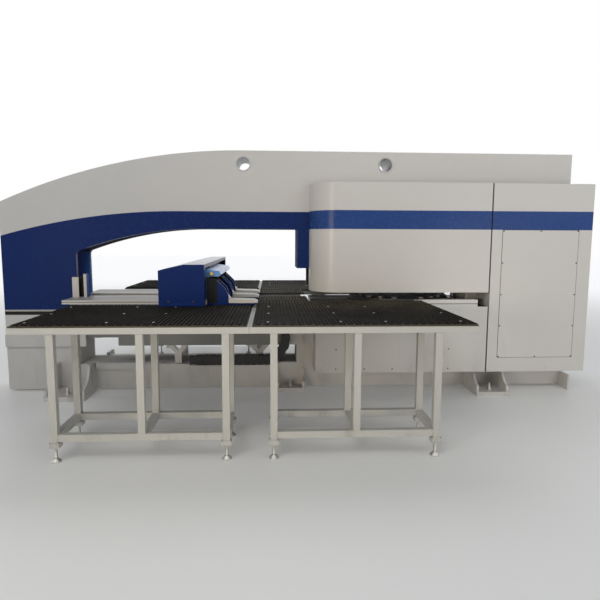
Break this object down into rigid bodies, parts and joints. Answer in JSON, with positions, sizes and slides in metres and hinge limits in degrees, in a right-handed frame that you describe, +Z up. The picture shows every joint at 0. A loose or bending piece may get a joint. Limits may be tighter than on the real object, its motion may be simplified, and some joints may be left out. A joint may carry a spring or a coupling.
{
  "type": "cnc turret punch press",
  "caption": "Sheet-metal punch press with a closed arched frame, a tool turret between its jaws, a clamp beam that moves the sheet and brush tables on both sides.",
  "frame": {"origin": "on the floor, at the centre of the whole machine's box", "axes": "+X along the frame from the open throat towards the cabinet, +Y across it away from the side pictured, +Z up"},
  "size_m": [5.236, 3.618, 2.187],
  "materials": {
    "white_paint": "semi-gloss enamel",
    "blue_paint": "semi-gloss enamel",
    "grey_paint": "satin enamel",
    "dark_paint": "satin enamel",
    "light_blue_cover": "gloss",
    "frame_steel": "satin grey enamel",
    "ground_steel": "ground",
    "turned_steel": "turned",
    "zinc": "zinc plated",
    "cream_steel": "matt",
    "brush": "nylon bristle",
    "chain_plastic": "moulded",
    "castings": "painted casting"
  },
  "bodies": {
    "frame": {"frame_front_plate": "white_paint", "frame_rear_plate": "white_paint", "frame_crown_plate": "white_paint", "frame_throat_lining": "blue_paint", "frame_end_plates": "white_paint", "frame_ribs": "white_paint", "base_beam": "white_paint", "lifting_tubes": "ground_steel", "column_ledges": "grey_paint", "machine_feet": "white_paint", "anchor_bolts": "zinc", "rail_bed": "grey_paint", "rail_bed_posts": "white_paint", "y_rails": "ground_steel", "y_screw_supports": "castings", "y_drive_motor": "dark_paint", "turret_cover_front": "white_paint", "turret_cover_rear": "white_paint", "lower_cover_front": "white_paint", "lower_cover_rear": "white_paint", "cabinet_front": "white_paint", "cabinet_rear": "white_paint", "access_panels": "white_paint", "panel_screws": "zinc", "turret_guard": "white_paint", "turret_bearing_blocks": "castings", "ram_cylinder": "dark_paint", "turret_motor": "dark_paint", "left_front_table": "frame_steel", "right_front_table": "frame_steel", "left_rear_table": "frame_steel", "right_rear_table": "frame_steel", "brush_tops": "brush", "centre_brush_tops": "brush", "table_bolts": "zinc", "levelling_feet": "zinc", "table_brackets": "grey_paint", "centre_plates": "cream_steel", "hose_post": "cream_steel", "energy_chain": "chain_plastic"},
    "beam": {"saddle": "dark_paint", "x_beam": "dark_paint", "beam_hood": "blue_paint", "x_rails": "ground_steel", "x_drive_motor": "dark_paint"},
    "y_screw": {"y_ball_screw": "turned_steel"},
    "carriage": {"clamp_carriage": "light_blue_cover", "clamp_bodies": "blue_paint"},
    "x_screw": {"x_ball_screw": "turned_steel"},
    "jaw_front": {"clamp_jaw_front": "cream_steel"},
    "jaw_middle": {"clamp_jaw_middle": "cream_steel"},
    "jaw_rear": {"clamp_jaw_rear": "cream_steel"},
    "upper_turret": {"upper_turret": "ground_steel", "punches": "turned_steel"},
    "lower_turret": {"lower_turret": "ground_steel", "dies": "turned_steel"},
    "drive_shaft": {"turret_drive_shaft": "turned_steel"},
    "ram": {"ram": "turned_steel"},
    "index_pin_upper": {"index_pin_upper": "turned_steel"},
    "index_pin_lower": {"index_pin_lower": "turned_steel"}
  },
  "joints": [
    {"name": "beam_travel", "type": "slide", "parent": "frame", "child": "beam", "axis": [1, 0, 0], "range_m": [-0.6, 0.56]},
    {"name": "y_screw_spin", "type": "hinge", "parent": "frame", "child": "y_screw", "pos_m": [0, 0, 0.598], "axis": [1, 0, 0], "range_deg": [-4400, 4100]},
    {"name": "carriage_travel", "type": "slide", "parent": "beam", "child": "carriage", "axis": [0, 1, 0], "range_m": [-0.06, 0.58]},
    {"name": "x_screw_spin", "type": "hinge", "parent": "beam", "child": "x_screw", "pos_m": [-0.771, 0, 1.032], "axis": [0, 1, 0], "range_deg": [-720, 6600]},
    {"name": "jaw_front_pivot", "type": "hinge", "parent": "carriage", "child": "jaw_front", "pos_m": [-0.6, -0.775, 0.945], "axis": [0, -1, 0], "range_deg": [0, 5]},
    {"name": "jaw_middle_pivot", "type": "hinge", "parent": "carriage", "child": "jaw_middle", "pos_m": [-0.6, -0.35, 0.945], "axis": [0, -1, 0], "range_deg": [0, 5]},
    {"name": "jaw_rear_pivot", "type": "hinge", "parent": "carriage", "child": "jaw_rear", "pos_m": [-0.6, 0.02, 0.945], "axis": [0, -1, 0], "range_deg": [0, 5]},
    {"name": "upper_turret_spin", "type": "hinge", "parent": "frame", "child": "upper_turret", "pos_m": [1.01, 0, 0.89], "axis": [0, 0, 1], "continuous": true},
    {"name": "lower_turret_spin", "type": "hinge", "parent": "frame", "child": "lower_turret", "pos_m": [1.01, 0, 0.89], "axis": [0, 0, 1], "continuous": true},
    {"name": "drive_shaft_spin", "type": "hinge", "parent": "frame", "child": "drive_shaft", "pos_m": [1.552, 0, 0.89], "axis": [0, 0, 1], "continuous": true},
    {"name": "ram_stroke", "type": "slide", "parent": "frame", "child": "ram", "axis": [0, 0, -1], "range_m": [0, 0.037]},
    {"name": "index_pin_upper_stroke", "type": "slide", "parent": "frame", "child": "index_pin_upper", "axis": [0, 0, -1], "range_m": [0, 0.03]},
    {"name": "index_pin_lower_stroke", "type": "slide", "parent": "frame", "child": "index_pin_lower", "axis": [0, 0, 1], "range_m": [0, 0.03]}
  ],
  "couplings": [
    {"joint": "y_screw_spin", "follows": "beam_travel", "rad_per_m": 125.66},
    {"joint": "x_screw_spin", "follows": "carriage_travel", "rad_per_m": 196.35},
    {"joint": "jaw_middle_pivot", "follows": "jaw_front_pivot", "ratio": 1},
    {"joint": "jaw_rear_pivot", "follows": "jaw_front_pivot", "ratio": 1},
    {"joint": "lower_turret_spin", "follows": "upper_turret_spin", "ratio": 1},
    {"joint": "drive_shaft_spin", "follows": "upper_turret_spin", "ratio": 12},
    {"joint": "index_pin_lower_stroke", "follows": "index_pin_upper_stroke", "ratio": 1}
  ]
}
